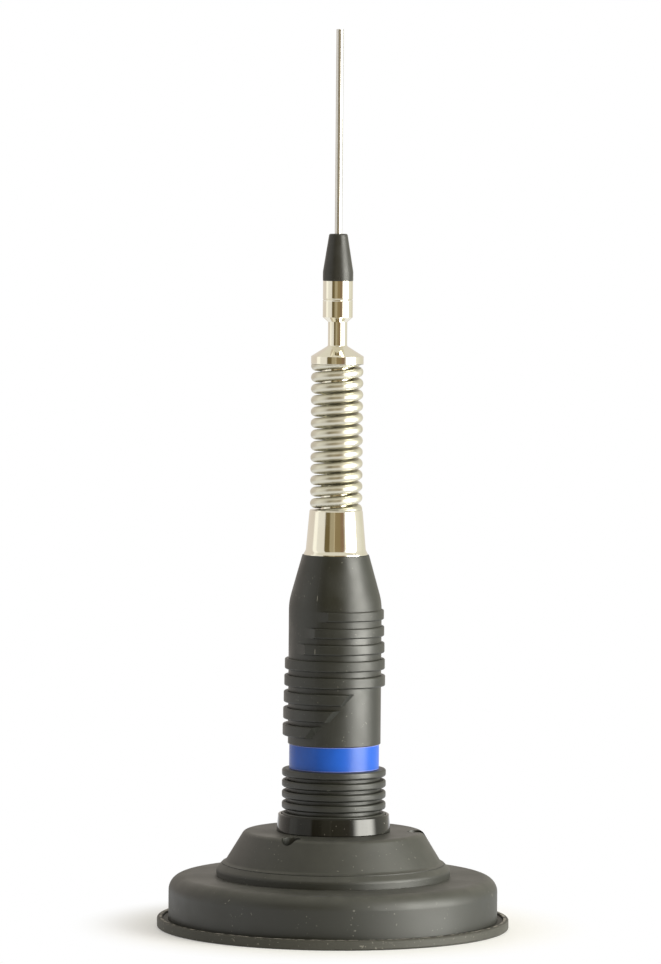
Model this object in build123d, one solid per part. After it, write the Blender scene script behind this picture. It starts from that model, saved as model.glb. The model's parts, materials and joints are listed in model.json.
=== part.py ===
from build123d import *

import math
import os

# A magnetic mount antenna: a short whip on a flexible spring, a loading coil in a ribbed
# housing and a round magnet base.
#
# Millimetres. Z runs up the mast and Z = 0 is the underside of the rubber pad, at the
# mast's axis. The front of the antenna faces -Y. A bearing is measured from the front,
# positive towards +X.

# Fits between pieces
FIXED_GAP = 0.1          # between round faces of pieces that are fixed together
RUNNING_GAP = 0.06       # radial play of threads and of shafts that slide
FREE_GAP = 0.35          # round faces that must stay clear of each other

# Small edges that many pieces share
TURNED_EDGE = 0.4        # on turned metal
MOULDED_EDGE = 0.3       # on moulded plastic

# Rubber pad under the base
PAD_OVERHANG = 4.7       # how far the pad stands out from the drum's side
PAD_FLOOR = 1.6          # rubber between the magnet and the car's roof
PAD_LIP_HEIGHT = 4.1
PAD_LIP_WIDTH = 2.2      # raised bead round the rim
PAD_GROOVE_DEPTH = 0.8   # step down from the bead to the drum's foot
PAD_EDGE = 0.75
PAD_BEAD_EDGE = 0.4
PAD_BEAD_SLOPE = 0.3     # how far the bead's inner side leans

# Drum cover over the magnet
DRUM_RADIUS = 67.8
DRUM_HEIGHT = 19.6       # from the pad's floor to the drum's top
DRUM_WALL = 2.0
DRUM_EDGE = 6.0          # rounding of its upper edge
DRUM_OPENING = 42.0      # radius of the hole under the cone housing

# Magnet assembly
CUP_PLATE = 3.0
CUP_RIM = 2.4
MAGNET_BORE = 30.0
POLE_RADIUS = 26.0
MAGNET_RECESS = 0.3      # magnet's face above the cup's rim
BOLT_RADIUS = 3.0
BOLT_HEAD_RADIUS = 5.0
BOLT_HEAD_HEIGHT = 4.0
BOLT_SOCKET_RADIUS = 2.5
BOLT_LENGTH = 12.0

# Cone housing on top of the drum
SKIRT_RADIUS = 48.2
SKIRT_HEIGHT = 5.2
SKIRT_LEDGE = 2.1        # width of the step between skirt and cone
SKIRT_EDGE = 1.8
CONE_FOOT_RADIUS = 44.4
CONE_TOP_RADIUS = 36.8
CONE_HEIGHT = 18.6       # from the drum's top to the cone's top
CONE_EDGE = 2.4
CONE_WALL = 2.4
SEAM_DEPTH = 0.35
SEAM_HEIGHT = 0.35
CONE_STEP = 0.6          # rise of the small shoulder between the seam and the cone
CONE_STEP_ROUND = 1.5

# Screws that hold the cone housing down
POCKET_CIRCLE = 34.3     # radius of the circle that the pockets lie on
POCKET_RADIUS = 4.0
POCKET_WALL = 1.6
POCKET_BEARINGS = (-30.0, 90.0, 210.0)
POCKET_FLOOR = 5.3       # above the magnet cup
SCREW_RADIUS = 1.5
SCREW_GRIP = 2.4         # length held in the magnet cup's plate
SCREW_HEAD_RADIUS = 3.2
SCREW_HEAD_HEIGHT = 2.4
RECESS_WIDTH = 0.9
RECESS_LENGTH = 3.6
RECESS_DEPTH = 1.4

# Cable outlet at the back
OUTLET_HEIGHT = 5.8      # bore's axis above the drum's top
CABLE_BORE = 2.6
GLAND_RADIUS = 4.0
NOSE_WALL = 1.6
NOSE_STAND_OUT = 2.8     # how far the nose's face stands out from the skirt
GLAND_INSIDE = 2.0       # how far the gland reaches into the cone's hollow
GLAND_FLANGE_RADIUS = 5.3
GLAND_FLANGE = 2.0
GLAND_BOOT_LENGTH = 10.0
GLAND_BOOT_RADIUS = 4.6
GLAND_TIP_RADIUS = 3.6
GLAND_EDGE = 0.5

# Coaxial connector in the base
STEM_RADIUS = 12.0
STEM_TOP = 15.2          # above the cone's top
STEM_BORE = 8.0
FLANGE_RADIUS = 17.0
FLANGE_HEIGHT = 3.0
TAIL_RADIUS = 10.0
TAIL_LENGTH = 5.0
SOCKET_RADIUS = 2.5
SOCKET_TAIL = 4.0        # solder end below the insulator
SOCKET_DEPTH = 10.0
INSULATOR_RECESS = 1.0

# Glossy collar that the mast's foot stands in
COLLAR_RADIUS = 23.5
COLLAR_TOP_RADIUS = 22.85
COLLAR_HEIGHT = 7.3
COLLAR_FLOOR = 2.6
COLLAR_EDGE = 0.6

# Gasket under the mast's foot
GASKET_INNER = 13.5
GASKET_OUTER = 19.5
GASKET_HEIGHT = 1.5

# Coil housing, a ribbed moulding
COIL_HEIGHT = 110.0
COIL_BODY_RADIUS = 19.1
COIL_BORE = 16.5
FOOT_RADIUS = 20.3
RING_COUNT = 5
RING_RADIUS = 21.4
RING_GROOVE_RADIUS = 19.0
RING_PITCH = 4.5
RING_HEIGHT = 3.1
RING_EDGE = 0.9
FOOT_BELOW_RINGS = 0.75
BAND_RECESS_RADIUS = 18.2
BAND_HEIGHT = 10.0
BAND_RADIUS = 18.5
BAND_MARGIN = 0.1        # recess above and below the band
TAPER_HEIGHT = 19.4
TAPER_ROUND = 25.0       # where the taper runs into the straight body
COIL_TOP_RADIUS = 13.7
COIL_TOP_WALL = 4.0
COIL_TOP_BORE = 10.4     # radius of the hollow under the top wall

# Grip ribs: rows from the top, with blank label panels at the upper left and lower right
RIB_COUNT = 8
RIB_PITCH = 6.79
RIB_FIRST_BELOW_TOP = 24.5
RIB_RADIUS_TOP = 20.05
RIB_RADIUS_BOTTOM = 21.3
RIB_HEIGHT_TOP = 4.05
RIB_HEIGHT_BOTTOM = 4.9
RIB_EDGE = 0.6
RIB_ROOT = 1.0           # depth of a rib's root inside the housing's wall
UPPER_PANEL_ENDS = (-24.0, -42.0, -56.0)
UPPER_PANEL_LIFT = 2.0   # angle between a rib's run-out and the housing's surface
LOWER_PANEL_ENDS = (19.0, 1.5, -21.0)
LOWER_PANEL_LIFT = 32.0
LOWER_PANEL_LEAN = 0.95  # how far a lower rib's end leans sideways for its height
LEANING_SINK = 0.25      # depth of the leaning cutter's edge inside the housing's wall
LEANING_SPREAD = 22.0    # bearing from a lower rib's end to the upright part of its panel
HIDDEN_PANEL_END = 118.0
HIDDEN_PANEL_LIFT = 20.0
RUN_OUT_LENGTH = 14.0    # far enough to leave the highest rib
PANEL_SPREAD = 45.0      # how far apart the panel cutter's outer corners lie

# Threaded insert and contact in the mast's foot
INSERT_RECESS = 0.4
INSERT_LENGTH = 16.0
INSERT_THREAD_DEPTH = 12.7
INSERT_BORE = 8.6
FOOT_DISC_RADIUS = 14.0
FOOT_DISC_HEIGHT = 3.7
PIN_RADIUS = 1.25
PIN_REACH = 8.5          # length of the pin inside the base's socket at rest
PIN_HEAD_RADIUS = 3.0
PIN_HEAD_HEIGHT = 1.5
PIN_TAIL = 2.0
PIN_TIP = 0.8            # rounding of its tip

# Coil
FORMER_RADIUS = 11.0
FORMER_BORE = 8.0
FORMER_FLANGE = 2.4
FORMER_DEPTH = 20.4      # from the housing's top down to the former's upper flange
FORMER_NECK_RADIUS = 9.0
FORMER_NECK_HEIGHT = 7.6
COIL_MARGIN = 2.0        # least bare stretch of former beyond each end of the winding
COIL_WIRE = 1.6
COIL_PITCH = 2.9

# Nickelled ferrule between coil housing and spring
FERRULE_FLARE_RADIUS = 13.2
FERRULE_FOOT_RADIUS = 12.35
FERRULE_TOP_RADIUS = 10.95
FERRULE_HEIGHT = 18.5
FERRULE_FLARE_HEIGHT = 1.9
FERRULE_LIP = 0.35
FERRULE_CHAMFER = 0.6
FERRULE_COVE = 3.0       # rounding between flare and body
STUD_RADIUS = 5.0
STUD_LENGTH = 26.0

# Spring
SPRING_LENGTH = 59.8
SPRING_PITCH = 4.7
SPRING_WIRE = 2.0        # radius of the wire
SPRING_RADIUS = 8.75     # radius of the coil at the wire's centre
SPRING_START = 180.0     # angle about Z at which the wire starts, from +X
SPRING_SPARE = 0.1       # helix that runs on past the wire's radius before it is ground
SPIGOT_LENGTH = 10.0
SPIGOT_EDGE = 0.8

# Spring plug: disc, neck and the lower half of the whip's head
DISC_RADIUS = 10.8
DISC_HEIGHT = 3.2
DISC_EDGE = 0.3
FLARE_HEIGHT = 4.3
NECK_RADIUS = 3.95
NECK_LENGTH = 9.8
NECK_ROUND = 0.8         # where the flare runs into the neck
HEAD_RADIUS = 6.15
HEAD_CHAMFER = 1.9
HEAD_LOWER = 7.2
HEAD_UPPER = 7.7
HEAD_GROOVE = 0.25
JOINT_RADIUS = 3.55      # threaded spigot between the two halves of the head
JOINT_LENGTH = 5.2
NIPPLE_RADIUS = 4.3
NIPPLE_LENGTH = 8.3

# Set screws on the hidden side of the whip's head
GRUB_RADIUS = 1.45
GRUB_HEIGHT = 3.8        # above the head's joint
GRUB_ANGLES = (30.0, 150.0)
GRUB_SOCKET = 0.8
GRUB_SOCKET_DEPTH = 1.6
GRUB_INSET = 0.25

# Whip and its rain cap
WHIP_RADIUS = 1.5
WHIP_LENGTH = 119.6
WHIP_EDGE = 0.2
WHIP_BELOW_JOINT = 9.0   # length of whip below the head's joint
WHIP_HOLE_BELOW = 14.0   # free hole below the whip's end
CAP_RADIUS = 6.25
CAP_TOP_RADIUS = 3.75
CAP_HEIGHT = 19.3
CAP_SLEEVE = 3.7         # height of its straight foot
CAP_EDGE = 0.8
CAP_SHOULDER = 2.0       # rounding between its foot and its cone
CAP_FOOT_EDGE = 0.3

# Heights that stack up from the pad
drum_top = PAD_FLOOR + DRUM_HEIGHT
cup_top = drum_top - DRUM_WALL
cone_top = drum_top + CONE_HEIGHT
stem_top = cone_top + STEM_TOP
collar_floor = cone_top + COLLAR_FLOOR
foot = collar_floor + GASKET_HEIGHT
rings_bottom = foot + FOOT_BELOW_RINGS
rings_top = rings_bottom + (RING_COUNT - 1) * RING_PITCH + RING_HEIGHT
band_bottom = rings_top + BAND_MARGIN
band_top = band_bottom + BAND_HEIGHT
coil_top = foot + COIL_HEIGHT
insert_bottom = foot + INSERT_RECESS
insert_top = insert_bottom + INSERT_LENGTH
thread_top = insert_bottom + INSERT_THREAD_DEPTH
socket_top = stem_top - INSULATOR_RECESS
former_bottom = insert_top + FOOT_DISC_HEIGHT + PIN_HEAD_HEIGHT
former_top = coil_top - FORMER_DEPTH
coil_room = former_top - former_bottom - 2 * (FORMER_FLANGE + COIL_WIRE + COIL_MARGIN)
coil_turns = int(coil_room / COIL_PITCH) + 1
spring_bottom = coil_top + FERRULE_HEIGHT
spring_top = spring_bottom + SPRING_LENGTH
neck_bottom = spring_top + DISC_HEIGHT + FLARE_HEIGHT
neck_top = neck_bottom + NECK_LENGTH
head_joint = neck_top + HEAD_CHAMFER + HEAD_LOWER
head_top = head_joint + HEAD_UPPER
whip_bottom = head_joint - WHIP_BELOW_JOINT

# Sizes that follow from a mating piece
pad_radius = DRUM_RADIUS + PAD_OVERHANG
nose_reach = SKIRT_RADIUS + NOSE_STAND_OUT
gland_start = CONE_FOOT_RADIUS - CONE_WALL - GLAND_INSIDE
cup_radius = DRUM_RADIUS - DRUM_WALL - FIXED_GAP
spigot_radius = SPRING_RADIUS - SPRING_WIRE - FREE_GAP
whip_hole = WHIP_RADIUS + RUNNING_GAP
outlet_z = drum_top + OUTLET_HEIGHT


def turned(*corners):
    """Turn a closed outline about Z. A corner is (radius, height), with its rounding third."""
    points = [corner[:2] for corner in corners]
    rounds = [corner[2] if len(corner) > 2 else 0 for corner in corners]
    outline = FilletPolyline(*points, radius=rounds, close=True)
    return revolve(Plane.XZ * make_face(outline), Axis.Z)


def rod(radius, bottom, top, x=0, y=0):
    """An upright cylinder between two heights."""
    return Pos(x, y, (bottom + top) / 2) * Cylinder(radius, top - bottom)


def pocket_places():
    """Plan positions of the three screws, from their bearings."""
    angles = [math.radians(bearing - 90) for bearing in POCKET_BEARINGS]
    return [(POCKET_CIRCLE * math.cos(a), POCKET_CIRCLE * math.sin(a)) for a in angles]


def along_y(radius, near, far, height):
    """A cylinder that runs from Y = near to Y = far at a height above the pad."""
    return Pos(0, (near + far) / 2, height) * Rot(90, 0, 0) * Cylinder(radius, far - near)


def rubber_pad():
    """Disc with a beaded lip. The drum stands in its recess."""
    bead_inner = pad_radius - PAD_LIP_WIDTH
    groove = PAD_LIP_HEIGHT - PAD_GROOVE_DEPTH
    seat = DRUM_RADIUS + FIXED_GAP
    return turned(
        (0, 0),
        (pad_radius, 0, PAD_EDGE),
        (pad_radius, PAD_LIP_HEIGHT, PAD_EDGE),
        (bead_inner, PAD_LIP_HEIGHT, PAD_BEAD_EDGE),
        (bead_inner - PAD_BEAD_SLOPE, groove),
        (seat, groove),
        (seat, PAD_FLOOR),
        (0, PAD_FLOOR),
    )


def drum_cover():
    """Round cover with a soft upper edge, open below and under the cone housing."""
    inner = DRUM_RADIUS - DRUM_WALL
    return turned(
        (DRUM_RADIUS, PAD_FLOOR),
        (DRUM_RADIUS, drum_top, DRUM_EDGE),
        (DRUM_OPENING, drum_top),
        (DRUM_OPENING, cup_top),
        (inner, cup_top, DRUM_EDGE - DRUM_WALL),
        (inner, PAD_FLOOR),
    )


def magnet_cup():
    """Steel pot that carries the magnet, tapped for the housing's screws and the pole's bolt."""
    plate = cup_top - CUP_PLATE
    pot = turned(
        (0, cup_top),
        (cup_radius, cup_top, DRUM_EDGE - DRUM_WALL + FREE_GAP),
        (cup_radius, PAD_FLOOR),
        (cup_radius - CUP_RIM, PAD_FLOOR),
        (cup_radius - CUP_RIM, plate),
        (0, plate),
    )
    pot -= rod(BOLT_RADIUS + FIXED_GAP, plate, cup_top)
    for x, y in pocket_places():
        pot -= rod(SCREW_RADIUS + RUNNING_GAP, plate, cup_top, x, y)
    return pot


def ring_magnet():
    """Ferrite ring in the cup."""
    outer = cup_radius - CUP_RIM - FREE_GAP
    bottom = PAD_FLOOR + MAGNET_RECESS
    top = cup_top - CUP_PLATE
    return turned((MAGNET_BORE, bottom), (outer, bottom), (outer, top), (MAGNET_BORE, top))


def pole_core():
    """Steel disc inside the ring, level with the cup's rim."""
    top = cup_top - CUP_PLATE
    disc = rod(POLE_RADIUS, PAD_FLOOR, top)
    return disc - rod(BOLT_RADIUS + RUNNING_GAP, cup_top - BOLT_LENGTH, top)


def pole_bolt():
    """Socket-head bolt that draws the pole core up against the cup's plate."""
    head = turned(
        (0, cup_top),
        (BOLT_HEAD_RADIUS, cup_top),
        (BOLT_HEAD_RADIUS, cup_top + BOLT_HEAD_HEIGHT, TURNED_EDGE),
        (0, cup_top + BOLT_HEAD_HEIGHT),
    )
    bolt = head + rod(BOLT_RADIUS, cup_top - BOLT_LENGTH, cup_top)
    socket = extrude(RegularPolygon(BOLT_SOCKET_RADIUS, 6), -BOLT_HEAD_HEIGHT / 2)
    return bolt - Pos(0, 0, cup_top + BOLT_HEAD_HEIGHT) * socket


def cone_form():
    """Outer form of the cone housing, solid: skirt, ledge with its fine seam, and cone."""
    ledge = drum_top + SKIRT_HEIGHT
    seam_radius = SKIRT_RADIUS - SKIRT_LEDGE
    return turned(
        (0, drum_top),
        (SKIRT_RADIUS, drum_top),
        (SKIRT_RADIUS, ledge - SKIRT_LEDGE, SKIRT_EDGE),
        (seam_radius, ledge),
        (seam_radius - SEAM_DEPTH, ledge),
        (seam_radius - SEAM_DEPTH, ledge + SEAM_HEIGHT),
        (CONE_FOOT_RADIUS, ledge + SEAM_HEIGHT + CONE_STEP, CONE_STEP_ROUND),
        (CONE_TOP_RADIUS, cone_top, CONE_EDGE),
        (0, cone_top),
    )


def cable_nose():
    """Arched nose at the back, standing on the drum, that holds the cable gland."""
    radius = GLAND_RADIUS + NOSE_WALL
    start = CONE_TOP_RADIUS
    length = nose_reach - start
    arch = along_y(radius, start, nose_reach, outlet_z)
    block = Pos(0, start + length / 2, drum_top + OUTLET_HEIGHT / 2) * Box(
        2 * radius, length, OUTLET_HEIGHT
    )
    nose = arch + block
    upright = nose.faces().sort_by(Axis.Y)[-1]
    nose = fillet(upright.edges().filter_by(GeomType.CIRCLE), NOSE_WALL / 2)
    return nose


def cone_housing():
    """Moulded cone with three screw pockets, the mast's hole and the cable's nose."""
    ledge = drum_top + SKIRT_HEIGHT
    ceiling = cone_top - CONE_WALL
    hollow = turned(
        (0, drum_top),
        (SKIRT_RADIUS - CONE_WALL, drum_top),
        (SKIRT_RADIUS - CONE_WALL, ledge - SKIRT_LEDGE),
        (CONE_FOOT_RADIUS - CONE_WALL, ledge - SKIRT_LEDGE),
        (CONE_TOP_RADIUS - CONE_WALL / 2, ceiling),
        (0, ceiling),
    )
    form = cone_form() + cable_nose()
    shell = form - hollow
    reach = form + rod(DRUM_OPENING, cup_top, drum_top)
    for x, y in pocket_places():
        shell += rod(POCKET_RADIUS + POCKET_WALL, cup_top, cone_top, x, y) & reach
    for x, y in pocket_places():
        shell -= rod(POCKET_RADIUS, cup_top + POCKET_FLOOR, cone_top + CONE_EDGE, x, y)
        shell -= rod(SCREW_RADIUS + FREE_GAP, cup_top, cup_top + POCKET_FLOOR, x, y)
    shell -= rod(STEM_RADIUS + FIXED_GAP, ceiling, cone_top)
    return shell - along_y(
        GLAND_RADIUS + FIXED_GAP, gland_start - CONE_WALL, nose_reach, outlet_z
    )


def housing_screws():
    """Three pan-head screws with cross recesses, deep in their pockets."""
    seat = cup_top + POCKET_FLOOR
    top = seat + SCREW_HEAD_HEIGHT
    screw = turned(
        (0, cup_top - SCREW_GRIP),
        (SCREW_RADIUS, cup_top - SCREW_GRIP),
        (SCREW_RADIUS, seat),
        (SCREW_HEAD_RADIUS, seat),
        (SCREW_HEAD_RADIUS, top, SCREW_HEAD_HEIGHT / 2),
        (0, top),
    )
    for turn in (0, 90):
        slot = Rot(0, 0, turn) * Box(RECESS_LENGTH, RECESS_WIDTH, 2 * RECESS_DEPTH)
        screw -= Pos(0, 0, top) * slot
    return Compound([Pos(x, y, 0) * screw for x, y in pocket_places()])


def cable_gland():
    """Rubber sleeve with a flange and a short tapered boot, open through its bore."""
    flange_end = nose_reach + GLAND_FLANGE
    tip = flange_end + GLAND_BOOT_LENGTH
    sleeve = turned(
        (CABLE_BORE, gland_start),
        (GLAND_RADIUS, gland_start),
        (GLAND_RADIUS, nose_reach),
        (GLAND_FLANGE_RADIUS, nose_reach),
        (GLAND_FLANGE_RADIUS, flange_end, GLAND_EDGE),
        (GLAND_BOOT_RADIUS, flange_end),
        (GLAND_TIP_RADIUS, tip, GLAND_EDGE),
        (CABLE_BORE, tip),
    )
    return Pos(0, 0, outlet_z) * Rot(-90, 0, 0) * sleeve


def connector_body():
    """Brass connector: flange under the cone's top, threaded stem and a tail for the cable."""
    ceiling = cone_top - CONE_WALL
    flange = ceiling - FLANGE_HEIGHT
    return turned(
        (STEM_BORE, flange - TAIL_LENGTH),
        (TAIL_RADIUS, flange - TAIL_LENGTH),
        (TAIL_RADIUS, flange),
        (FLANGE_RADIUS, flange),
        (FLANGE_RADIUS, ceiling),
        (STEM_RADIUS, ceiling),
        (STEM_RADIUS, stem_top, TURNED_EDGE),
        (STEM_BORE, stem_top),
    )


def socket_insulator():
    """White bush that holds the centre socket in the connector."""
    bottom = cone_top - CONE_WALL - FLANGE_HEIGHT
    outer = STEM_BORE - FIXED_GAP
    inner = SOCKET_RADIUS + FIXED_GAP
    return turned((inner, bottom), (outer, bottom), (outer, socket_top), (inner, socket_top))


def centre_socket():
    """Brass centre contact, bored for the mast's pin."""
    bottom = cone_top - CONE_WALL - FLANGE_HEIGHT - SOCKET_TAIL
    bore = PIN_RADIUS + RUNNING_GAP
    return turned(
        (0, bottom),
        (SOCKET_RADIUS, bottom),
        (SOCKET_RADIUS, socket_top),
        (bore, socket_top),
        (bore, socket_top - SOCKET_DEPTH),
        (0, socket_top - SOCKET_DEPTH),
    )


def base_collar():
    """Glossy cup that screws down over the connector's stem."""
    top = cone_top + COLLAR_HEIGHT
    hole = STEM_RADIUS + FIXED_GAP
    inner = RING_RADIUS + FREE_GAP
    return turned(
        (hole, cone_top),
        (COLLAR_RADIUS, cone_top, MOULDED_EDGE),
        (COLLAR_TOP_RADIUS, top, COLLAR_EDGE),
        (inner, top, MOULDED_EDGE),
        (inner, collar_floor),
        (hole, collar_floor),
    )


def foot_gasket():
    """Flat rubber ring that the mast's foot clamps on the collar's floor."""
    return turned(
        (GASKET_INNER, collar_floor),
        (GASKET_OUTER, collar_floor),
        (GASKET_OUTER, foot),
        (GASKET_INNER, foot),
    )


def polar(radius, bearing):
    """Plan point at a bearing from the front."""
    angle = math.radians(bearing - 90)
    return Vector(radius * math.cos(angle), radius * math.sin(angle))


def run_out(bearing, lift, way):
    """Plan point where a sloping cut that starts at the housing's surface has left the ribs."""
    outward = polar(math.sin(math.radians(lift)), bearing)
    sideways = polar(way * math.cos(math.radians(lift)), bearing + 90)
    return polar(COIL_BODY_RADIUS, bearing) + (outward + sideways) * RUN_OUT_LENGTH


def panel_cutter(first, last, first_lift, last_lift):
    """Plan outline of a blank panel between two bearings, with sloping run-outs beside it."""
    far = 2 * RIB_RADIUS_BOTTOM
    middle = (first + last) / 2
    after = run_out(last, last_lift, 1)
    before = run_out(first, first_lift, -1)
    corners = [
        polar(COIL_BODY_RADIUS, first),
        polar(COIL_BODY_RADIUS, last),
        after,
        after.normalized() * far,
        polar(far, middle + PANEL_SPREAD),
        polar(far, middle - PANEL_SPREAD),
        before.normalized() * far,
        before,
    ]
    return make_face(Polyline(*corners, close=True))


def leaning_end(bearing, height, thickness):
    """Cutter for a rib's end that slopes down to the housing and leans from top to bottom."""
    inside = COIL_BODY_RADIUS - LEANING_SINK
    corners = [
        polar(inside, bearing),
        run_out(bearing, LOWER_PANEL_LIFT, -1),
        polar(2 * RIB_RADIUS_BOTTOM, bearing + LEANING_SPREAD),
        polar(inside, bearing + 2 * LEANING_SPREAD),
    ]
    lean = polar(LOWER_PANEL_LEAN * thickness, bearing + 90) + Vector(0, 0, thickness)
    wedge = extrude(make_face(Polyline(*corners, close=True)), lean.length, dir=lean, both=True)
    return Pos(0, 0, height) * wedge


def grip_ring(height, thickness, radius):
    """A raised ring all the way round the housing."""
    root = COIL_BODY_RADIUS - RIB_ROOT
    low, high = height - thickness / 2, height + thickness / 2
    return turned((root, low), (radius, low, RIB_EDGE), (radius, high, RIB_EDGE), (root, high))


def grip_ribs():
    """Eight rows that grow from top to bottom, cut short by the two blank panels."""
    ribs = []
    first_lower = RIB_COUNT - len(LOWER_PANEL_ENDS)
    for row in range(RIB_COUNT):
        share = row / (RIB_COUNT - 1)
        radius = RIB_RADIUS_TOP + share * (RIB_RADIUS_BOTTOM - RIB_RADIUS_TOP)
        thickness = RIB_HEIGHT_TOP + share * (RIB_HEIGHT_BOTTOM - RIB_HEIGHT_TOP)
        height = coil_top - RIB_FIRST_BELOW_TOP - row * RIB_PITCH
        rib = grip_ring(height, thickness, radius)
        panel = None
        if row < len(UPPER_PANEL_ENDS):
            lifts = (HIDDEN_PANEL_LIFT, UPPER_PANEL_LIFT)
            panel = panel_cutter(-HIDDEN_PANEL_END, UPPER_PANEL_ENDS[row], *lifts)
        if row >= first_lower:
            end = LOWER_PANEL_ENDS[row - first_lower]
            panel = panel_cutter(end + LEANING_SPREAD, HIDDEN_PANEL_END, 90, HIDDEN_PANEL_LIFT)
            rib -= leaning_end(end, height, thickness)
        if panel:
            rib -= Pos(0, 0, height) * extrude(panel, thickness, both=True)
        ribs.append(rib)
    return ribs


def coil_housing():
    """Moulded housing: foot, five rings, band recess, grip ribs and a rounded taper."""
    outline = [(COIL_BORE, foot), (FOOT_RADIUS, foot, MOULDED_EDGE), (FOOT_RADIUS, rings_bottom)]
    for ring in range(RING_COUNT):
        low = rings_bottom + ring * RING_PITCH
        high = low + RING_HEIGHT
        outline += [(RING_RADIUS, low, RING_EDGE), (RING_RADIUS, high, RING_EDGE)]
        if ring < RING_COUNT - 1:
            outline += [(RING_GROOVE_RADIUS, high), (RING_GROOVE_RADIUS, low + RING_PITCH)]
    recess_top = band_top + BAND_MARGIN
    outline += [
        (BAND_RECESS_RADIUS, rings_top),
        (BAND_RECESS_RADIUS, recess_top),
        (COIL_BODY_RADIUS, recess_top, MOULDED_EDGE),
        (COIL_BODY_RADIUS, coil_top - TAPER_HEIGHT, TAPER_ROUND),
        (COIL_TOP_RADIUS, coil_top, MOULDED_EDGE),
        (STUD_RADIUS + FIXED_GAP, coil_top),
        (STUD_RADIUS + FIXED_GAP, coil_top - COIL_TOP_WALL),
        (COIL_TOP_BORE, coil_top - COIL_TOP_WALL),
        (COIL_BORE, former_top + FORMER_FLANGE),
    ]
    housing = turned(*outline)
    for rib in grip_ribs():
        housing += rib
    return housing


def label_band():
    """Plain coloured band round the recess."""
    inner = BAND_RECESS_RADIUS + FIXED_GAP / 2
    return turned(
        (inner, band_bottom), (BAND_RADIUS, band_bottom), (BAND_RADIUS, band_top), (inner, band_top)
    )


def foot_insert():
    """Brass insert in the mast's foot, threaded to take the base's stem."""
    outer = COIL_BORE - FIXED_GAP
    thread = STEM_RADIUS + RUNNING_GAP
    return turned(
        (thread, insert_bottom, TURNED_EDGE),
        (outer, insert_bottom),
        (outer, insert_top),
        (INSERT_BORE, insert_top),
        (INSERT_BORE, thread_top),
        (thread, thread_top),
    )


def foot_insulator():
    """Flanged bush that carries the contact pin in the insert."""
    bore = PIN_RADIUS + RUNNING_GAP
    top = insert_top + FOOT_DISC_HEIGHT
    outer = INSERT_BORE - FIXED_GAP
    return turned(
        (bore, thread_top),
        (outer, thread_top),
        (outer, insert_top),
        (FOOT_DISC_RADIUS, insert_top),
        (FOOT_DISC_RADIUS, top),
        (bore, top),
    )


def contact_pin():
    """Centre pin of the mast, with a head on the insulator and a tail into the former."""
    tip = socket_top - PIN_REACH
    head = insert_top + FOOT_DISC_HEIGHT
    return turned(
        (0, tip),
        (PIN_RADIUS, tip, PIN_TIP),
        (PIN_RADIUS, head),
        (PIN_HEAD_RADIUS, head),
        (PIN_HEAD_RADIUS, former_bottom),
        (PIN_RADIUS, former_bottom),
        (PIN_RADIUS, former_bottom + PIN_TAIL),
        (0, former_bottom + PIN_TAIL),
    )


def coil_former():
    """Insulating tube with two flanges and a neck that takes the ferrule's stud."""
    flange = COIL_BORE - FREE_GAP
    neck_top_z = former_top + FORMER_NECK_HEIGHT
    stud_hole = STUD_RADIUS + RUNNING_GAP
    pin_hole = PIN_RADIUS + FIXED_GAP
    stud_end = coil_top - STUD_LENGTH
    return turned(
        (pin_hole, former_bottom),
        (flange, former_bottom),
        (flange, former_bottom + FORMER_FLANGE),
        (FORMER_RADIUS, former_bottom + FORMER_FLANGE),
        (FORMER_RADIUS, former_top - FORMER_FLANGE),
        (flange, former_top - FORMER_FLANGE),
        (flange, former_top),
        (FORMER_NECK_RADIUS, former_top),
        (FORMER_NECK_RADIUS, neck_top_z),
        (stud_hole, neck_top_z),
        (stud_hole, stud_end - FORMER_FLANGE),
        (FORMER_BORE, stud_end - FORMER_FLANGE),
        (FORMER_BORE, former_bottom + FORMER_FLANGE),
        (pin_hole, former_bottom + FORMER_FLANGE),
    )


def coil_winding():
    """Turns of enamelled wire in a thin bed of lacquer, as ridges side by side."""
    inner = FORMER_RADIUS + FIXED_GAP / 2
    bed = inner + COIL_WIRE / 4
    length = (coil_turns - 1) * COIL_PITCH
    start = (former_bottom + former_top - length) / 2
    outline = [(inner, start - COIL_WIRE)]
    for turn in range(coil_turns):
        middle = start + turn * COIL_PITCH
        outline += [
            (bed, middle - COIL_WIRE / 2),
            (inner + COIL_WIRE, middle),
            (bed, middle + COIL_WIRE / 2),
        ]
    outline.append((inner, start + length + COIL_WIRE))
    return turned(*outline)


def ferrule():
    """Turned ferrule: stud into the coil former, flared body and spigot into the spring."""
    chamfer = spring_bottom - FERRULE_CHAMFER
    return turned(
        (0, coil_top - STUD_LENGTH),
        (STUD_RADIUS, coil_top - STUD_LENGTH, TURNED_EDGE),
        (STUD_RADIUS, coil_top),
        (FERRULE_FLARE_RADIUS, coil_top),
        (FERRULE_FLARE_RADIUS, coil_top + FERRULE_LIP),
        (FERRULE_FOOT_RADIUS, coil_top + FERRULE_FLARE_HEIGHT, FERRULE_COVE),
        (FERRULE_TOP_RADIUS, chamfer),
        (FERRULE_TOP_RADIUS - FERRULE_CHAMFER / 2, spring_bottom),
        (spigot_radius, spring_bottom),
        (spigot_radius, spring_bottom + SPIGOT_LENGTH, SPIGOT_EDGE),
        (0, spring_bottom + SPIGOT_LENGTH),
    )


def spring():
    """Right-hand helical spring with both ends ground flat on their seats."""
    ground = SPRING_WIRE + SPRING_SPARE
    height = SPRING_LENGTH + 2 * ground
    line = Pos(0, 0, spring_bottom - ground) * Helix(SPRING_PITCH, height, SPRING_RADIUS)
    section = Plane(origin=line @ 0, z_dir=line % 0) * Circle(SPRING_WIRE)
    wire = sweep(section, path=line, is_frenet=True)
    wire = split(wire, Plane.XY.offset(spring_bottom), keep=Keep.TOP)
    wire = split(wire, Plane.XY.offset(spring_top), keep=Keep.BOTTOM)
    return Rot(0, 0, SPRING_START) * wire


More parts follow.
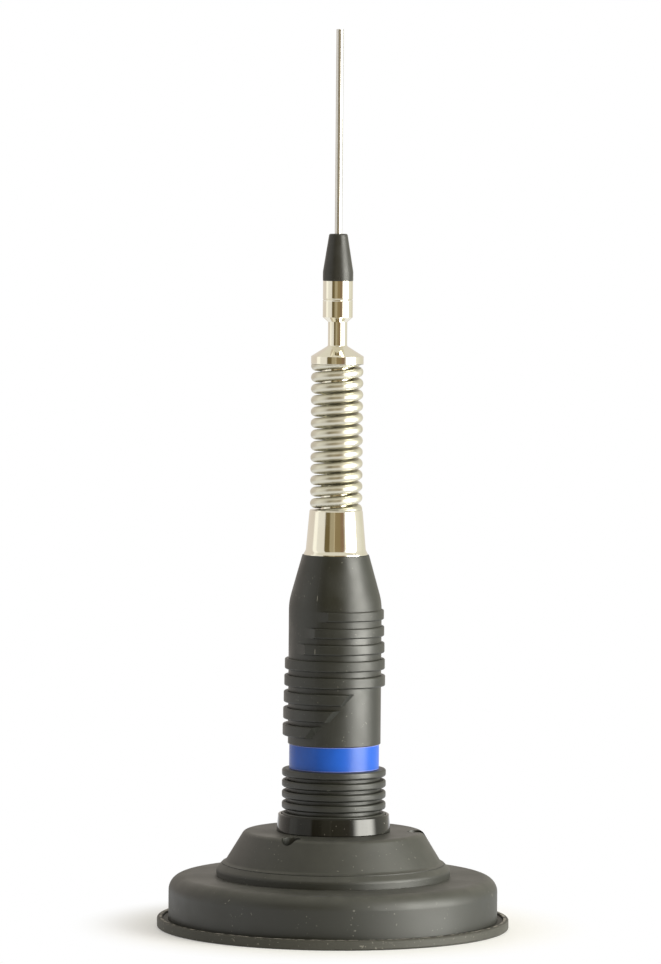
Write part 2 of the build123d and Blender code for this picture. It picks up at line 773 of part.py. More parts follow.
def spring_plug():
    """Spigot, disc, flare, neck and lower half of the whip's head in one turned piece."""
    disc_top = spring_top + DISC_HEIGHT
    joint_hole = JOINT_RADIUS + RUNNING_GAP
    joint_floor = head_joint - JOINT_LENGTH - FREE_GAP
    return turned(
        (0, spring_top - SPIGOT_LENGTH),
        (spigot_radius, spring_top - SPIGOT_LENGTH, SPIGOT_EDGE),
        (spigot_radius, spring_top),
        (DISC_RADIUS, spring_top, DISC_EDGE),
        (DISC_RADIUS, disc_top, DISC_EDGE),
        (NECK_RADIUS, neck_bottom, NECK_ROUND),
        (NECK_RADIUS, neck_top),
        (HEAD_RADIUS, neck_top + HEAD_CHAMFER),
        (HEAD_RADIUS, head_joint - HEAD_GROOVE),
        (HEAD_RADIUS - HEAD_GROOVE, head_joint),
        (joint_hole, head_joint),
        (joint_hole, joint_floor),
        (whip_hole, joint_floor),
        (whip_hole, whip_bottom - WHIP_HOLE_BELOW),
        (0, whip_bottom - WHIP_HOLE_BELOW),
    )


def grub_place(angle, depth):
    """Frame at a set screw's outer end: Z points out of the head, along the screw."""
    a = math.radians(angle)
    out = Vector(math.cos(a), math.sin(a), 0)
    centre = out * (HEAD_RADIUS - depth) + Vector(0, 0, head_joint + GRUB_HEIGHT)
    return Plane(origin=centre, z_dir=out)


def whip_holder():
    """Upper half of the head, drilled for the whip and its set screws, with a nipple on top."""
    holder = turned(
        (whip_hole, head_joint - JOINT_LENGTH),
        (JOINT_RADIUS, head_joint - JOINT_LENGTH, TURNED_EDGE),
        (JOINT_RADIUS, head_joint),
        (HEAD_RADIUS - HEAD_GROOVE, head_joint),
        (HEAD_RADIUS, head_joint + HEAD_GROOVE),
        (HEAD_RADIUS, head_top),
        (NIPPLE_RADIUS, head_top),
        (NIPPLE_RADIUS, head_top + NIPPLE_LENGTH, TURNED_EDGE),
        (whip_hole, head_top + NIPPLE_LENGTH),
    )
    for angle in GRUB_ANGLES:
        hole = extrude(Circle(GRUB_RADIUS + RUNNING_GAP), HEAD_RADIUS)
        holder -= grub_place(angle, HEAD_RADIUS) * hole
    return holder


def set_screws():
    """Two socket set screws that clamp the whip from the hidden side."""
    length = HEAD_RADIUS - GRUB_INSET - WHIP_RADIUS - RUNNING_GAP
    body = extrude(Circle(GRUB_RADIUS), -length)
    socket = extrude(RegularPolygon(GRUB_SOCKET, 6), -GRUB_SOCKET_DEPTH)
    screw = body - socket
    return Compound([grub_place(angle, GRUB_INSET) * screw for angle in GRUB_ANGLES])


def whip_rod():
    """Stainless rod, cut square at its tip."""
    top = whip_bottom + WHIP_LENGTH
    return turned(
        (0, whip_bottom),
        (WHIP_RADIUS, whip_bottom, WHIP_EDGE),
        (WHIP_RADIUS, top, WHIP_EDGE),
        (0, top),
    )


def rain_cap():
    """Rubber cap over the nipple, tapered up to the whip."""
    cavity = NIPPLE_RADIUS + FIXED_GAP
    cavity_top = head_top + NIPPLE_LENGTH + FREE_GAP
    top = head_top + CAP_HEIGHT
    return turned(
        (cavity, head_top),
        (CAP_RADIUS, head_top, CAP_FOOT_EDGE),
        (CAP_RADIUS, head_top + CAP_SLEEVE, CAP_SHOULDER),
        (CAP_TOP_RADIUS, top, CAP_EDGE),
        (whip_hole, top, CAP_FOOT_EDGE),
        (whip_hole, cavity_top),
        (cavity, cavity_top),
    )


PARTS = (
    rubber_pad,
    drum_cover,
    magnet_cup,
    ring_magnet,
    pole_core,
    pole_bolt,
    cone_housing,
    housing_screws,
    cable_gland,
    connector_body,
    socket_insulator,
    centre_socket,
    base_collar,
    foot_gasket,
    coil_housing,
    label_band,
    foot_insert,
    foot_insulator,
    contact_pin,
    coil_former,
    coil_winding,
    ferrule,
    spring,
    spring_plug,
    whip_holder,
    set_screws,
    whip_rod,
    rain_cap,
)

os.makedirs("parts", exist_ok=True)
for make in PARTS:
    export_step(make(), f"parts/{make.__name__}.step")
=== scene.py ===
import json
import math

import bpy
import numpy as np
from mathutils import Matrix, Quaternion, Vector


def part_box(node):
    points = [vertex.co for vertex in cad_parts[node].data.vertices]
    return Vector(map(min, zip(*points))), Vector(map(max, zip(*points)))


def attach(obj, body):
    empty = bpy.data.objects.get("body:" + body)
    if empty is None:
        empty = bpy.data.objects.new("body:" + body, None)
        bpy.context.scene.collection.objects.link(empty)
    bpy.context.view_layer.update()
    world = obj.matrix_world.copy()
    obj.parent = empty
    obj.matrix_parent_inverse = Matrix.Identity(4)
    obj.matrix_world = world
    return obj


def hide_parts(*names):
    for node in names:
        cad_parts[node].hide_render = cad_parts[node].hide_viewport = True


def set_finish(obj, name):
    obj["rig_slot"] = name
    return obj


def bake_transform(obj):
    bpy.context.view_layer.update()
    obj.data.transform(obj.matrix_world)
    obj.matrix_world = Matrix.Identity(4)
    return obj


# The looks of a magnetic mount antenna. Metres; the frame's origin is the middle of the
# rubber pad's underside, +Z runs up the mast, -Y is the front and +X is to the right.
# A bearing is measured about the mast from the front, positive towards +X.

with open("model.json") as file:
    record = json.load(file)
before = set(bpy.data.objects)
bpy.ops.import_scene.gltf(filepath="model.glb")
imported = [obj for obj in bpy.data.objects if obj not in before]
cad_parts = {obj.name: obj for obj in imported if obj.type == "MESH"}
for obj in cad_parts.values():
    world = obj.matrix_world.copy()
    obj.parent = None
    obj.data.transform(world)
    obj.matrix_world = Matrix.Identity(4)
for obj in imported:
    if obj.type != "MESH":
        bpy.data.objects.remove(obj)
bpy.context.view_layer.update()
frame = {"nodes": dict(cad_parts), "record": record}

# Camera: where it stands, what it looks at, and how far it is turned about its view
CAMERA_PLACE = (-0.0024, -2.3, 0.3112)
CAMERA_AIM = (-0.0024, 0.0, 0.1837)
CAMERA_ROLL = 0.477      # degrees, by which the mast leans to the right in the picture
PICTURE_HEIGHT = 0.396   # height of the picture at the mast
SENSOR = 36.0            # millimetres, along the picture's longer side

# Light tent round the antenna, as its metal shows it: bearing and colour
TENT = (
    (-180, (0.78, 0.72, 0.66)),
    (-104, (0.78, 0.72, 0.66)),
    (-98, (1.15, 1.13, 1.05)),
    (-84, (1.15, 1.13, 1.05)),
    (-78, (0.91, 0.89, 0.83)),
    (-48, (0.88, 0.85, 0.79)),
    (-44, (0.17, 0.13, 0.06)),
    (-27, (0.17, 0.13, 0.06)),
    (-23, (0.43, 0.37, 0.24)),
    (-8, (0.43, 0.37, 0.24)),
    (-6, (0.72, 0.63, 0.44)),
    (-4, (0.30, 0.23, 0.12)),
    (16, (0.29, 0.22, 0.11)),
    (22, (0.27, 0.18, 0.11)),
    (31, (0.27, 0.18, 0.11)),
    (40, (0.98, 0.96, 0.90)),
    (96, (0.96, 0.94, 0.86)),
    (128, (0.80, 0.78, 0.66)),
    (180, (0.78, 0.72, 0.66)),
)
TENT_PEAK = 1.2          # the colours are stored as shares of this strength
TENT_CEILING = (0.80, 0.77, 0.68)
OPENING_LOW, OPENING_HIGH = -0.55, 0.62   # edges of the dim opening, as sines of elevation
OPENING_SOFTNESS = 0.06

# Softboxes at the right: bearing, distance, height, size and power
HIGH_SOFTBOX = (64.0, 1.6, 0.62, (1.60, 1.70), 82.0)
LOW_SOFTBOX = (68.0, 0.7, 0.06, (0.80, 0.16), 6.0)
SOFTBOX_COLOUR = (1.0, 0.99, 0.91)
SOFTBOX_EDGE = 0.3        # share of a softbox over which it fades at each edge

# Pale table under the antenna
TABLE_RADIUS = 0.6
TABLE_RINGS = 8
TABLE_STEPS = 128         # points in each ring
SHADOW_RADIUS = 0.072     # about the rubber pad's radius, where the shadow is darkest
SHADOW_END = 0.11         # beyond this radius the table is as white as the surroundings
SHADOW_GLOW = 0.25        # share of white that the table already has under the pad

# Spring, as in the model
SPRING_PITCH = 0.0047
SPRING_WIRE = 0.002       # radius of the wire
SPRING_RADIUS = 0.00875   # radius of the coil at the wire's centre
SPRING_GROUND = 0.0021    # height ground off at each end of the coil
SPRING_TIP = 0.0018       # how far the wire's centre goes on past each seat
SPRING_START = 180.0      # angle about Z at which the wire starts, before grinding
STEPS_PER_TURN = 96
STEPS_ROUND_WIRE = 28

# Threaded stem of the base's connector, as in the model
STEM_RADIUS = 0.012
STEM_BORE = 0.008
TAIL_RADIUS = 0.010
TAIL_LENGTH = 0.005
FLANGE_HEIGHT = 0.003
THREAD_PITCH = 0.0015
THREAD_DEPTH = 0.0008
THREAD_LENGTH = 0.0118
THREAD_ROWS = 10          # rows of points in each turn of the thread
STEPS_ROUND_STEM = 120

# Marks on the finishes
PARTING_LINES = (-23.7, 156.3)   # bearings of the coil housing's parting line
PARTING_HALF = 0.003      # half of the line's width, in radians of bearing
PARTING_SOFTNESS = 0.005
DUST_RADIUS = 0.0709      # radius of the dusty ring on the rubber pad's bead


class Nodes:
    """Short helpers that add nodes to a tree and join them."""

    def __init__(self, tree):
        self.tree = tree

    def set(self, node, inputs):
        """Give each named socket its value, or join it to another node's output."""
        for key, value in inputs.items():
            if isinstance(value, bpy.types.NodeSocket):
                self.tree.links.new(value, node.inputs[key])
            else:
                node.inputs[key].default_value = value

    def node(self, kind, inputs=None, **settings):
        node = self.tree.nodes.new(kind)
        for key, value in settings.items():
            setattr(node, key, value)
        self.set(node, inputs or {})
        return node

    def split(self, vector):
        """The x, y and z of a vector."""
        node = self.node("ShaderNodeSeparateXYZ", {"Vector": vector})
        return [node.outputs[axis] for axis in "XYZ"]

    def ramp(self, value, low, high, start=0.0, end=1.0):
        """A smooth rise from start to end as the value goes from low to high."""
        inputs = {"Value": value, "From Min": low, "From Max": high, "To Min": start,
                  "To Max": end}
        node = self.node("ShaderNodeMapRange", inputs, interpolation_type="SMOOTHSTEP")
        return node.outputs["Result"]

    def maths(self, operation, first, second=0.0):
        node = self.node("ShaderNodeMath", {0: first, 1: second}, operation=operation)
        return node.outputs["Value"]

    def mix(self, share, first, second):
        """First colour where share is 0 and second where it is 1."""
        inputs = {0: share}
        for key, colour in ((6, first), (7, second)):
            inputs[key] = (*colour, 1.0) if isinstance(colour, tuple) else colour
        return self.node("ShaderNodeMix", inputs, data_type="RGBA").outputs[2]


class Finish(Nodes):
    """A material on the object's own coordinates."""

    def __init__(self, name, colour, roughness, metallic=0.0, **sockets):
        self.material = bpy.data.materials.new(name)
        self.material.use_nodes = True
        super().__init__(self.material.node_tree)
        self.shader = self.tree.nodes["Principled BSDF"]
        self.set(self.shader, {"Base Color": (*colour, 1.0), "Roughness": roughness,
                               "Metallic": metallic, **sockets})
        self.place = self.node("ShaderNodeTexCoord").outputs["Object"]
        self.bumped = None

    def stretched(self, scale):
        """Coordinates multiplied along each axis."""
        inputs = {"Vector": self.place, "Scale": scale}
        return self.node("ShaderNodeMapping", inputs).outputs["Vector"]

    def noise(self, scale, detail=2.0, at=None):
        inputs = {"Vector": at or self.place, "Scale": scale, "Detail": detail}
        return self.node("ShaderNodeTexNoise", inputs).outputs["Fac"]

    def axes(self):
        """The object's x, y and z."""
        return self.split(self.place)

    def radius(self):
        """Distance from the mast's axis."""
        x, y, _ = self.axes()
        squares = self.maths("ADD", self.maths("MULTIPLY", x, x), self.maths("MULTIPLY", y, y))
        return self.maths("SQRT", squares)

    def bearing(self):
        """Bearing about the mast's axis, in radians."""
        x, y, _ = self.axes()
        return self.maths("ARCTAN2", x, self.maths("MULTIPLY", y, -1.0))

    def band(self, value, middle, half, softness):
        """1 within half of the middle value, falling to 0 beyond it."""
        away = self.maths("ABSOLUTE", self.maths("SUBTRACT", value, middle))
        return self.ramp(away, half, half + softness, 1.0, 0.0)

    def relief(self, height, depth, strength=1.0):
        """Add a fine relief of this depth in metres to the surface."""
        inputs = {"Height": height, "Distance": depth, "Strength": strength}
        if self.bumped:
            inputs["Normal"] = self.bumped
        self.bumped = self.node("ShaderNodeBump", inputs).outputs["Normal"]
        self.set(self.shader, {"Normal": self.bumped})

    def specks(self, scale, threshold, softness=0.02):
        """Small sparse spots, as of dust."""
        return self.ramp(self.noise(scale, 1.0), threshold, threshold + softness)


def new_piece(name, points, faces, body, slot, normals=None):
    """A mesh piece from arrays of points and four-cornered faces, riding on a body."""
    mesh = bpy.data.meshes.new(name)
    mesh.vertices.add(len(points))
    mesh.vertices.foreach_set("co", points.astype(np.float32).ravel())
    mesh.loops.add(faces.size)
    mesh.loops.foreach_set("vertex_index", faces.astype(np.int32).ravel())
    mesh.polygons.add(len(faces))
    mesh.polygons.foreach_set("loop_start", np.arange(0, faces.size, 4, dtype=np.int32))
    mesh.polygons.foreach_set("use_smooth", np.ones(len(faces), bool))
    mesh.update(calc_edges=True)
    mesh.validate()
    if normals is not None:
        mesh.normals_split_custom_set_from_vertices(normals.astype(np.float32))
    piece = bpy.data.objects.new(name, mesh)
    bpy.context.scene.collection.objects.link(piece)
    if body:
        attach(piece, body)
    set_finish(piece, slot)
    return piece


def grid_faces(rows, columns, close_rows=False):
    """Faces of a grid of points whose columns close on themselves, and its rows if asked."""
    last = rows if close_rows else rows - 1
    row, column = np.meshgrid(np.arange(last), np.arange(columns), indexing="ij")
    next_row, next_column = (row + 1) % rows, (column + 1) % columns
    corners = [row * columns + column, row * columns + next_column,
               next_row * columns + next_column, next_row * columns + column]
    return np.stack([corner.ravel() for corner in corners], axis=1)


def coiled_wire(height, bottom, top):
    """Points, normals and direction of a coiled wire whose centre passes these heights.

    The wire's centre goes round a circle as it rises by the pitch in each turn. Round it, the
    surface is a circle square to the wire's direction, which climbs by the lead angle. Points
    beyond a seat's plane are moved onto it, upright, which gives the ground face.
    """
    count = len(height)
    rise = height - bottom + SPRING_GROUND
    turn = 2 * np.pi * rise / SPRING_PITCH + math.radians(SPRING_START)
    round_wire = np.linspace(0, 2 * np.pi, STEPS_ROUND_WIRE, endpoint=False)
    lead = math.atan2(SPRING_PITCH, 2 * math.pi * SPRING_RADIUS)
    outward = np.stack([np.cos(turn), np.sin(turn), np.zeros(count)], axis=1)
    along = np.stack([-np.sin(turn) * math.cos(lead), np.cos(turn) * math.cos(lead),
                      np.full(count, math.sin(lead))], axis=1)
    downward = np.cross(along, outward)
    centre = outward * SPRING_RADIUS + height[:, None] * np.array((0, 0, 1.0))
    normals = (outward[:, None] * np.cos(round_wire)[:, None]
               + downward[:, None] * np.sin(round_wire)[:, None])
    points = centre[:, None] + normals * SPRING_WIRE
    for seat, way in ((bottom, 1), (top, -1)):
        beyond = (points[..., 2] - seat) * way < 0
        points[..., 2] = np.where(beyond, seat, points[..., 2])
        normals[beyond] = (0, 0, -way)
    return points, normals, along


def spring_half(name, first, last, bottom, top):
    """The spring between two heights of its helix, with closed ends.

    The rings of points round the coiled wire are spaced evenly along it. One more ring at each
    end has shrunk to the mean of the last ring's points, which closes the wire.
    """
    turns = (last - first) / SPRING_PITCH
    count = int(round(turns * STEPS_PER_TURN)) + 1
    points, normals, along = coiled_wire(np.linspace(first, last, count), bottom, top)
    ends = points.mean(axis=1)
    shape = (1, STEPS_ROUND_WIRE, 3)
    points = np.concatenate([np.broadcast_to(ends[0], shape), points,
                             np.broadcast_to(ends[-1], shape)])
    normals = np.concatenate([np.broadcast_to(-along[0], shape), normals,
                              np.broadcast_to(along[-1], shape)])
    faces = grid_faces(count + 2, STEPS_ROUND_WIRE)
    piece = new_piece(name, points.reshape(-1, 3), faces, None, "spring_steel",
                      normals.reshape(-1, 3))
    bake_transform(piece)
    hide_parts("spring")
    return piece


def wound_spring():
    """The spring in two halves that meet at the middle."""
    low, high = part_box("spring")
    bottom, top = low.z, high.z
    middle = (bottom + top) / 2
    return (spring_half("spring_lower", bottom - SPRING_TIP, middle,
                        bottom, top),
            spring_half("spring_upper", middle, top + SPRING_TIP,
                        bottom, top))


def threaded_connector():
    """The base's connector with a real thread on its stem.

    The outline of radius against height is turned about the mast's axis. On the threaded
    stretch the radius drops by the thread's depth times a triangle wave of the height less
    the rise of the helix at that angle, eased out at both ends of the thread.
    """
    low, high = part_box("connector_body")
    flange = low.z + TAIL_LENGTH
    flange_radius = high.x
    start, end = high.z - THREAD_LENGTH, high.z
    count = int(THREAD_LENGTH / THREAD_PITCH * THREAD_ROWS)
    rows = np.linspace(start, end, count)
    outline = [(STEM_BORE, low.z), (TAIL_RADIUS, low.z), (TAIL_RADIUS, flange),
               (flange_radius, flange), (flange_radius, flange + FLANGE_HEIGHT),
               (STEM_RADIUS, flange + FLANGE_HEIGHT)]
    outline += [(STEM_RADIUS, height) for height in rows]
    outline.append((STEM_BORE, end))
    radius, height = np.array(outline).T
    angle = np.linspace(0, 2 * np.pi, STEPS_ROUND_STEM, endpoint=False)
    wave = (height[:, None] - start) / THREAD_PITCH - angle / (2 * np.pi)
    triangle = 2 * np.abs(wave - np.floor(wave) - 0.5)
    ease = np.clip((height - start) / THREAD_PITCH, 0, 1)[:, None]
    on_stem = np.isclose(radius, STEM_RADIUS)[:, None]
    cut = radius[:, None] - THREAD_DEPTH * triangle * ease * on_stem
    points = np.stack([cut * np.cos(angle), cut * np.sin(angle),
                       np.broadcast_to(height[:, None], cut.shape)], axis=2)
    faces = grid_faces(len(outline), STEPS_ROUND_STEM, close_rows=True)
    piece = new_piece("threaded_connector", points.reshape(-1, 3), faces, "base", "brass")
    piece.data.polygons.foreach_set("use_smooth", np.zeros(len(faces), bool))
    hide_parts("connector_body")
    return piece


def base_plastic():
    """Fine-grained black moulding with a few specks, and on what faces up a paler mottle that is
    partly dust and partly painted sheen.
    """
    finish = Finish("base_plastic", (0.011, 0.012, 0.008), 0.5, **{"Specular IOR Level": 0.7})
    mottle = finish.noise(38.0, 4.0)
    colour = finish.mix(mottle, (0.007, 0.008, 0.005), (0.014, 0.015, 0.010))
    _, _, facing = finish.split(finish.node("ShaderNodeTexCoord").outputs["Normal"])
    # Painted sheen and dust: faces turned up get a paler mottled colour, which stands partly for
    # dust and partly for the sheen the light lays on the tops.
    dust_and_sheen = finish.maths("MULTIPLY", finish.ramp(facing, 0.2, 1.0), finish.noise(160.0, 3.0))
    colour = finish.mix(dust_and_sheen, colour, (0.055, 0.055, 0.045))
    specks = finish.maths("MULTIPLY", finish.specks(900.0, 0.72), finish.specks(60.0, 0.5, 0.1))
    colour = finish.mix(specks, colour, (0.10, 0.098, 0.082))
    finish.set(finish.shader, {"Base Color": colour,
                               "Roughness": finish.ramp(mottle, 0.3, 0.7, 0.44, 0.56)})
    finish.relief(finish.noise(2600.0, 2.0), 0.00004, 0.5)
    return finish.material


def pad_rubber():
    """Brown-grey rubber with pale specks, and dusty along the bead's inner edge."""
    finish = Finish("pad_rubber", (0.035, 0.034, 0.027), 0.6)
    mottle = finish.noise(70.0, 5.0)
    colour = finish.mix(mottle, (0.026, 0.026, 0.020), (0.045, 0.044, 0.035))
    ring = finish.band(finish.radius(), DUST_RADIUS, 0.0003, 0.0006)
    dust = finish.maths("MULTIPLY", ring, finish.specks(420.0, 0.42, 0.2))
    colour = finish.mix(dust, colour, (0.33, 0.31, 0.27))
    colour = finish.mix(finish.specks(900.0, 0.70), colour, (0.13, 0.125, 0.105))
    finish.set(finish.shader, {"Base Color": colour})
    finish.relief(finish.noise(1500.0, 3.0), 0.00006, 0.6)
    return finish.material


def coil_plastic():
    """Black moulding with fine grain, a parting line and bright specks of flash on it."""
    finish = Finish("coil_plastic", (0.010, 0.011, 0.007), 0.42, **{"Specular IOR Level": 0.65})
    mottle = finish.noise(90.0, 4.0)
    colour = finish.mix(mottle, (0.007, 0.008, 0.005), (0.013, 0.014, 0.009))
    seam = finish.maths("MAXIMUM", *(
        finish.band(finish.bearing(), math.radians(line), PARTING_HALF, PARTING_SOFTNESS)
        for line in PARTING_LINES))
    along = finish.stretched((0.0, 0.0, 1.0))
    flash = finish.ramp(finish.noise(230.0, 0.0, at=along), 0.64, 0.68)
    flash = finish.maths("MULTIPLY", seam, flash)
    colour = finish.mix(finish.maths("MULTIPLY", seam, 0.45), colour, (0.02, 0.02, 0.017))
    colour = finish.mix(flash, colour, (0.20, 0.195, 0.17))
    specks = finish.maths("MULTIPLY", finish.specks(1100.0, 0.73), finish.specks(95.0, 0.5, 0.1))
    colour = finish.mix(specks, colour, (0.13, 0.128, 0.108))
    finish.set(finish.shader, {"Base Color": colour,
                               "Roughness": finish.ramp(mottle, 0.3, 0.7, 0.36, 0.48)})
    finish.relief(finish.noise(2400.0, 2.0), 0.00004, 0.45)
    finish.relief(seam, 0.00008, 0.4)
    return finish.material


def gloss_black():
    """Glossy black with the faintest polishing marks and a few pale specks of dust all over."""
    finish = Finish("gloss_black", (0.012, 0.012, 0.010), 0.06, **{"Specular IOR Level": 0.28})
    scuffs = finish.noise(900.0, 3.0, at=finish.stretched((1.0, 1.0, 0.15)))
    finish.set(finish.shader, {"Roughness": finish.ramp(scuffs, 0.5, 0.8, 0.06, 0.16)})
    colour = finish.mix(finish.specks(800.0, 0.74), (0.012, 0.012, 0.010), (0.09, 0.085, 0.075))
    finish.set(finish.shader, {"Base Color": colour})
    finish.relief(finish.noise(120.0, 1.0), 0.00002, 0.3)
    return finish.material


def band_blue():
    """Satin blue printed band, paler along its cut edges."""
    finish = Finish("band_blue", (0.008, 0.078, 0.43), 0.32, **{"Specular IOR Level": 0.34})
    low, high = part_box("label_band")
    _, _, height = finish.axes()
    mottle = finish.noise(140.0, 2.0)
    colour = finish.mix(mottle, (0.003, 0.064, 0.38), (0.008, 0.084, 0.45))
    half = (high.z - low.z) / 2
    edge = finish.ramp(finish.maths("ABSOLUTE", finish.maths("SUBTRACT", height, low.z + half)),
                       half - 0.0004, half - 0.0001)
    colour = finish.mix(edge, colour, (0.16, 0.20, 0.55))
    finish.set(finish.shader, {"Base Color": colour})
    finish.relief(finish.noise(500.0, 2.0), 0.00002, 0.3)
    return finish.material


def turned_nickel():
    """Bright nickel with lathe rings, slight clouding and a rounded joint in the head."""
    finish = Finish("turned_nickel", (0.84, 0.81, 0.70), 0.08, 1.0)
    rings = finish.noise(5200.0, 2.0, at=finish.stretched((0.02, 0.02, 1.0)))
    cloud = finish.noise(130.0, 4.0)
    colour = finish.mix(cloud, (0.80, 0.76, 0.64), (0.87, 0.85, 0.76))
    finish.set(finish.shader, {"Base Color": colour,
                               "Roughness": finish.ramp(cloud, 0.35, 0.75, 0.05, 0.13)})
    finish.relief(rings, 0.000012, 0.15)
    _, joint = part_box("spring_plug")
    finish.relief(finish.band(finish.axes()[2], joint.z, 0.0001, 0.0005), 0.0003)
    return finish.material


def spring_steel():
    """Nickelled wire with fine drawing marks and dull patches."""
    finish = Finish("spring_steel", (0.66, 0.64, 0.54), 0.34, 1.0)
    cloud = finish.noise(260.0, 4.0)
    marks = finish.noise(3800.0, 2.0, at=finish.stretched((0.12, 0.12, 1.0)))
    colour = finish.mix(cloud, (0.58, 0.56, 0.46), (0.74, 0.72, 0.62))
    finish.set(finish.shader, {"Base Color": colour,
                               "Roughness": finish.ramp(cloud, 0.3, 0.7, 0.28, 0.40)})
    finish.relief(marks, 0.00002, 0.35)
    return finish.material


def whip_steel():
    """Stainless rod with fine marks along its length."""
    finish = Finish("whip_steel", (0.66, 0.65, 0.63), 0.30, 1.0)
    marks = finish.noise(4200.0, 2.0, at=finish.stretched((1.0, 1.0, 0.01)))
    cloud = finish.noise(60.0, 3.0)
    colour = finish.mix(cloud, (0.62, 0.61, 0.59), (0.70, 0.69, 0.67))
    finish.set(finish.shader, {"Base Color": colour,
                               "Roughness": finish.ramp(marks, 0.3, 0.7, 0.26, 0.34)})
    finish.relief(marks, 0.000002, 0.1)
    return finish.material


def cap_rubber():
    """Smooth black rubber with a faint bloom."""
    finish = Finish("cap_rubber", (0.020, 0.020, 0.017), 0.34)
    bloom = finish.noise(210.0, 4.0)
    colour = finish.mix(bloom, (0.017, 0.017, 0.014), (0.027, 0.027, 0.023))
    finish.set(finish.shader, {"Base Color": colour,
                               "Roughness": finish.ramp(bloom, 0.3, 0.7, 0.32, 0.46)})
    finish.relief(finish.noise(2600.0, 2.0), 0.00003, 0.4)
    return finish.material


def plain_finish(name, dark, pale, roughness, metallic, grain, depth, stretch=(1, 1, 1)):
    """A finish between two near colours with one fine grain, for what lies inside."""
    finish = Finish(name, dark, roughness, metallic)
    cloud = finish.noise(150.0, 4.0)
    marks = finish.noise(grain, 2.0, at=finish.stretched(stretch))
    finish.set(finish.shader, {"Base Color": finish.mix(cloud, dark, pale),
                               "Roughness": finish.ramp(cloud, 0.3, 0.7, roughness,
                                                        roughness + 0.12)})
    finish.relief(marks, depth, 0.5)
    return finish.material


def finishes():
    """Each material slot of the record and the finish it gets."""
    rings = (0.02, 0.02, 1)
    return {
        "pad_rubber": pad_rubber(),
        "base_plastic": base_plastic(),
        "gloss_black": gloss_black(),
        "coil_plastic": coil_plastic(),
        "band_blue": band_blue(),
        "nickel": turned_nickel(),
        "spring_steel": spring_steel(),
        "whip_steel": whip_steel(),
        "cap_rubber": cap_rubber(),
        "cup_steel": plain_finish("cup_steel", (0.50, 0.50, 0.50), (0.62, 0.62, 0.61),
                                  0.3, 1.0, 900.0, 0.00002),
        "ferrite": plain_finish("ferrite", (0.030, 0.030, 0.032), (0.055, 0.055, 0.058),
                                0.6, 0.0, 1400.0, 0.00005),
        "brass": plain_finish("brass", (0.72, 0.53, 0.22), (0.84, 0.66, 0.34),
                              0.16, 1.0, 4500.0, 0.00001, rings),
        "insulator_white": plain_finish("insulator_white", (0.78, 0.77, 0.73),
                                        (0.86, 0.85, 0.82), 0.35, 0.0, 1800.0, 0.00001),
        "seal_rubber": plain_finish("seal_rubber", (0.018, 0.018, 0.017),
                                    (0.035, 0.034, 0.032), 0.6, 0.0, 2000.0, 0.00003),
        "former_plastic": plain_finish("former_plastic", (0.50, 0.45, 0.34),
                                       (0.60, 0.55, 0.43), 0.45, 0.0, 1800.0, 0.00002),
        "copper_wire": plain_finish("copper_wire", (0.45, 0.15, 0.05), (0.58, 0.22, 0.08),
                                    0.25, 1.0, 2500.0, 0.00001, rings),
        "screw_steel": plain_finish("screw_steel", (0.42, 0.42, 0.41), (0.56, 0.56, 0.54),
                                    0.28, 1.0, 3000.0, 0.00001, rings),
    }


def dress(pieces):
    """Give every node and every new piece the finish of its material slot."""
    made = finishes()
    slots = {row["node"]: row["material_slot"] for row in frame["record"]["subparts"]}
    for node, thing in frame["nodes"].items():
        thing.data.materials.clear()
        thing.data.materials.append(made[slots[node]])
    for piece in pieces:
        piece.data.materials.append(made[piece["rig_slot"]])


def place_camera():
    """Camera at the photograph's place, turned about its view by the roll."""
    data = bpy.data.cameras.new("camera")
    camera = bpy.data.objects.new("camera", data)
    bpy.context.scene.collection.objects.link(camera)
    view = Vector(CAMERA_AIM) - Vector(CAMERA_PLACE)
    data.sensor_width = SENSOR
    data.lens = SENSOR * view.length / PICTURE_HEIGHT
    data.clip_start, data.clip_end = 0.1, 50.0
    camera.location = CAMERA_PLACE
    camera.rotation_mode = "QUATERNION"
    roll = Quaternion((0, 0, 1), math.radians(CAMERA_ROLL))
    camera.rotation_quaternion = view.to_track_quat("-Z", "Y") @ roll
    bpy.context.scene.camera = camera


def light_tent():
    """Surroundings: plain white to the camera, and to the rest a pale tent whose front is dim.

    The colour round the mast comes from the direction's bearing. Above and below the dim
    opening, the tent's ceiling colour takes over.
    """
    world = bpy.data.worlds.new("light_tent")
    bpy.context.scene.world = world
    world.use_nodes = True
    world.node_tree.nodes.clear()
    tent = Nodes(world.node_tree)
    x, y, z = tent.split(tent.node("ShaderNodeTexCoord").outputs["Generated"])
    bearing = tent.maths("ARCTAN2", x, tent.maths("MULTIPLY", y, -1.0))
    share = tent.maths("ADD", tent.maths("MULTIPLY", bearing, 1 / (2 * math.pi)), 0.5)
    walls = tent.node("ShaderNodeValToRGB", {"Fac": share})
    stops = walls.color_ramp.elements
    while len(stops) < len(TENT):
        stops.new(1.0)
    for stop, (angle, colour) in zip(stops, TENT):
        stop.position = angle / 360 + 0.5
        stop.color = (*(c / TENT_PEAK for c in colour), 1.0)
    soft = OPENING_SOFTNESS
    inside = tent.maths("MULTIPLY", tent.ramp(z, OPENING_LOW - soft, OPENING_LOW + soft),
                        tent.ramp(z, OPENING_HIGH - soft, OPENING_HIGH + soft, 1.0, 0.0))
    ceiling = tuple(c / TENT_PEAK for c in TENT_CEILING)
    colour = tent.mix(inside, ceiling, walls.outputs["Color"])
    pale = tent.node("ShaderNodeBackground", {"Color": colour, "Strength": TENT_PEAK})
    white = tent.node("ShaderNodeBackground", {"Color": (1, 1, 1, 1)})
    rays = tent.node("ShaderNodeLightPath").outputs
    direct = tent.maths("MAXIMUM", rays["Is Camera Ray"], rays["Is Transmission Ray"])
    pick = tent.node("ShaderNodeMixShader", {0: direct, 1: pale.outputs[0],
                                             2: white.outputs[0]})
    tent.node("ShaderNodeOutputWorld", {"Surface": pick.outputs[0]})


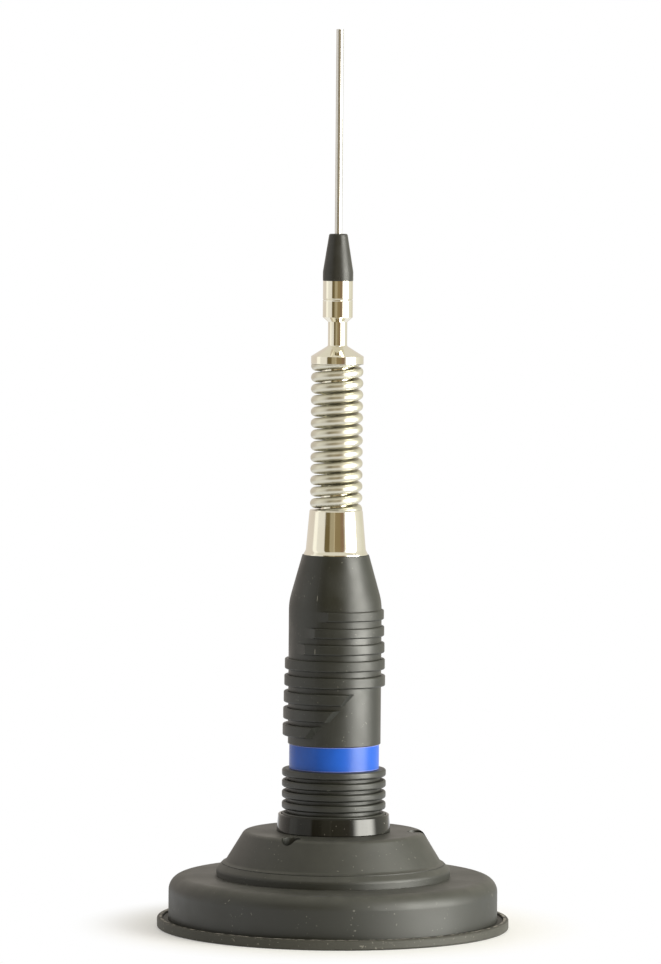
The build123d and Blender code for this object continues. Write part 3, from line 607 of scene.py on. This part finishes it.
def softbox(name, bearing, distance, height, size, power):
    """Rectangular soft lamp, turned level to the mast's axis, that fades towards its edges."""
    data = bpy.data.lights.new(name, "AREA")
    data.shape = "RECTANGLE"
    data.size, data.size_y = size
    data.energy = power
    data.color = SOFTBOX_COLOUR
    data.use_nodes = True
    glow = Nodes(data.node_tree)
    across = glow.split(glow.node("ShaderNodeNewGeometry").outputs["Parametric"])[:2]
    fades = [glow.ramp(glow.maths("PINGPONG", way, 0.5), 0.0, SOFTBOX_EDGE) for way in across]
    glow.set(glow.tree.nodes["Emission"], {"Strength": glow.maths("MULTIPLY", *fades)})
    lamp = bpy.data.objects.new(name, data)
    bpy.context.scene.collection.objects.link(lamp)
    turn = math.radians(bearing)
    outward = Vector((math.sin(turn), -math.cos(turn), 0))
    lamp.location = outward * distance + Vector((0, 0, height))
    lamp.rotation_euler = (-outward).to_track_quat("-Z", "Y").to_euler()


def pale_table():
    """Round pale table that keeps the antenna's shadow and fades into the white around it.

    Its points lie on circles about the mast, evenly spaced in radius and in angle.
    """
    radii = np.linspace(0, TABLE_RADIUS, TABLE_RINGS)
    angle = np.linspace(0, 2 * np.pi, TABLE_STEPS, endpoint=False)
    ring, turn = np.meshgrid(radii, angle, indexing="ij")
    points = np.stack([ring * np.cos(turn), ring * np.sin(turn), np.zeros_like(ring)], axis=2)
    mesh = bpy.data.meshes.new("table")
    mesh.from_pydata(points.reshape(-1, 3).tolist(), [],
                     grid_faces(TABLE_RINGS, TABLE_STEPS)[:, ::-1].tolist())
    table = bpy.data.objects.new("table", mesh)
    bpy.context.scene.collection.objects.link(table)
    finish = Finish("table", (0.86, 0.86, 0.85), 0.6)
    glow = finish.node("ShaderNodeEmission", {"Color": (1, 1, 1, 1), "Strength": 1.0})
    rays = finish.node("ShaderNodeLightPath").outputs
    seen = finish.maths("MAXIMUM", rays["Is Camera Ray"], rays["Is Glossy Ray"])
    seen = finish.maths("MAXIMUM", seen, rays["Is Transmission Ray"])
    fade = finish.ramp(finish.radius(), SHADOW_RADIUS, SHADOW_END, SHADOW_GLOW, 1.0)
    share = finish.maths("MULTIPLY", seen, fade)
    blend = finish.node("ShaderNodeMixShader", {0: share, 1: finish.shader.outputs[0],
                                               2: glow.outputs[0]})
    finish.set(finish.tree.nodes["Material Output"], {"Surface": blend.outputs[0]})
    mesh.materials.append(finish.material)


place_camera()
light_tent()
softbox("high_softbox", *HIGH_SOFTBOX)
softbox("low_softbox", *LOW_SOFTBOX)
pale_table()
dress([*wound_spring(), threaded_connector()])
bpy.context.scene.view_settings.view_transform = "Standard"
